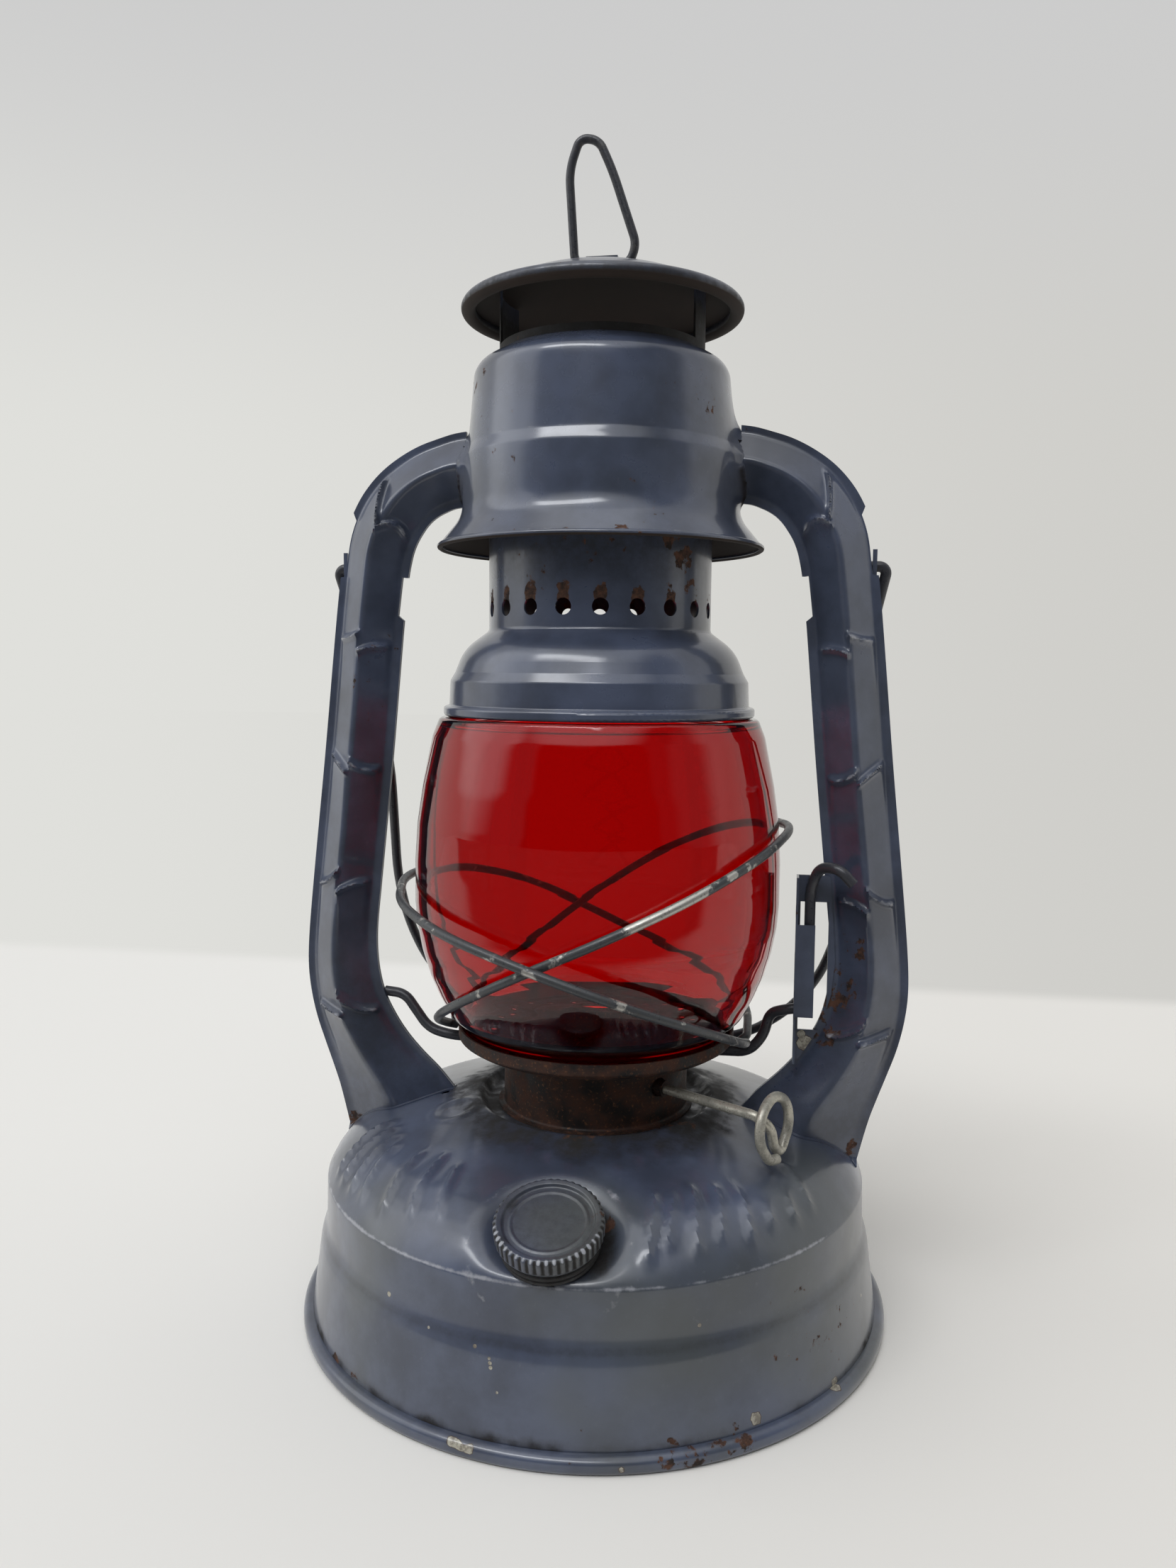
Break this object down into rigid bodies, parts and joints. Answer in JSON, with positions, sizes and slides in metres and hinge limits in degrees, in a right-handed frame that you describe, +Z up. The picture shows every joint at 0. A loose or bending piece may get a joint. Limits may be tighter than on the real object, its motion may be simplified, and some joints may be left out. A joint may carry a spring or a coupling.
{
  "type": "hurricane lantern",
  "caption": "Tubular oil lantern with a red glass globe, wire guard, side air tubes, lifting lever, sprung chimney and carrying bail.",
  "frame": {"origin": "On the table, at the middle of the fount's bottom bead.", "axes": "+Z up; +X towards the tube with the globe lever; -Y towards the filler cap."},
  "size_m": [0.1772, 0.1696, 0.3311],
  "materials": {
    "enamel": "satin grey-blue enamel with chips and rust spots",
    "rusty_steel": "dark rusted sheet steel",
    "zinc_wire": "dulled galvanised wire, worn bright in patches",
    "dark_wire": "enamelled wire",
    "cap_steel": "worn enamel over steel with a bright knurled rim",
    "ruby_glass": "deep red blown glass",
    "cotton": "woven flat cotton wick",
    "cork": "composition gasket"
  },
  "bodies": {
    "frame": {"fount_shell": "enamel", "fount_bottom": "enamel", "filler_neck": "enamel", "air_chamber": "enamel", "burner_collar": "rusty_steel", "burner_body": "rusty_steel", "wick_tube": "zinc_wire", "burner_drum": "rusty_steel", "shaft_bush": "zinc_wire", "hood": "enamel", "left_tube_front": "enamel", "left_tube_back": "enamel", "right_tube_front": "enamel", "right_tube_back": "enamel", "lift_guide": "enamel", "bail_ear_left": "enamel", "bail_ear_right": "enamel", "chimney_spring": "zinc_wire"},
    "globe_carriage": {"globe_plate": "rusty_steel", "burner_cone": "rusty_steel", "guard_hoop_left": "zinc_wire", "guard_hoop_right": "zinc_wire", "lift_wire": "dark_wire", "globe": "ruby_glass"},
    "chimney": {"globe_crown": "enamel", "chimney_tube": "enamel", "spring_seat": "rusty_steel", "chimney_cap": "enamel", "ring_strap": "enamel"},
    "top_ring": {"top_ring": "dark_wire"},
    "bail": {"bail": "dark_wire"},
    "wick_shaft": {"wick_shaft": "zinc_wire", "wick_wheels": "zinc_wire"},
    "wick": {"wick": "cotton"},
    "cap_thread": {"cap_seal": "cork"},
    "fuel_cap": {"fuel_cap": "cap_steel"}
  },
  "joints": [
    {"name": "globe_lift", "type": "slide", "parent": "frame", "child": "globe_carriage", "axis": [0, 0, 1], "range_m": [0, 0.014]},
    {"name": "chimney_slide", "type": "slide", "parent": "globe_carriage", "child": "chimney", "axis": [0, 0, 1], "range_m": [0, 0.015], "deforming": ["chimney_spring"]},
    {"name": "top_ring_swing", "type": "hinge", "parent": "chimney", "child": "top_ring", "pos_m": [0, 0, 0.2962], "axis": [1, 0, 0], "range_deg": [-90, 90]},
    {"name": "bail_swing", "type": "hinge", "parent": "frame", "child": "bail", "pos_m": [0, 0.0042, 0.214], "axis": [1, 0, 0], "range_deg": [0, 283]},
    {"name": "wick_turn", "type": "hinge", "parent": "frame", "child": "wick_shaft", "pos_m": [0.02352, -0.01904, 0.0695], "axis": [0.8526, -0.5225, 0], "range_deg": [-57.2, 114.5]},
    {"name": "wick_rise", "type": "slide", "parent": "frame", "child": "wick", "axis": [0, 0, 1], "range_m": [-0.003, 0.006]},
    {"name": "cap_rise", "type": "slide", "parent": "frame", "child": "cap_thread", "axis": [0, -0.3584, 0.9336], "range_m": [0, 0.00481]},
    {"name": "cap_screw", "type": "hinge", "parent": "cap_thread", "child": "fuel_cap", "pos_m": [0, -0.0677, 0.0463], "axis": [0, -0.3584, 0.9336], "range_deg": [0, 1080]}
  ],
  "couplings": [
    {"joint": "wick_rise", "follows": "wick_turn", "m_per_rad": 0.003},
    {"joint": "cap_rise", "follows": "cap_screw", "m_per_rad": 0.00025465}
  ]
}
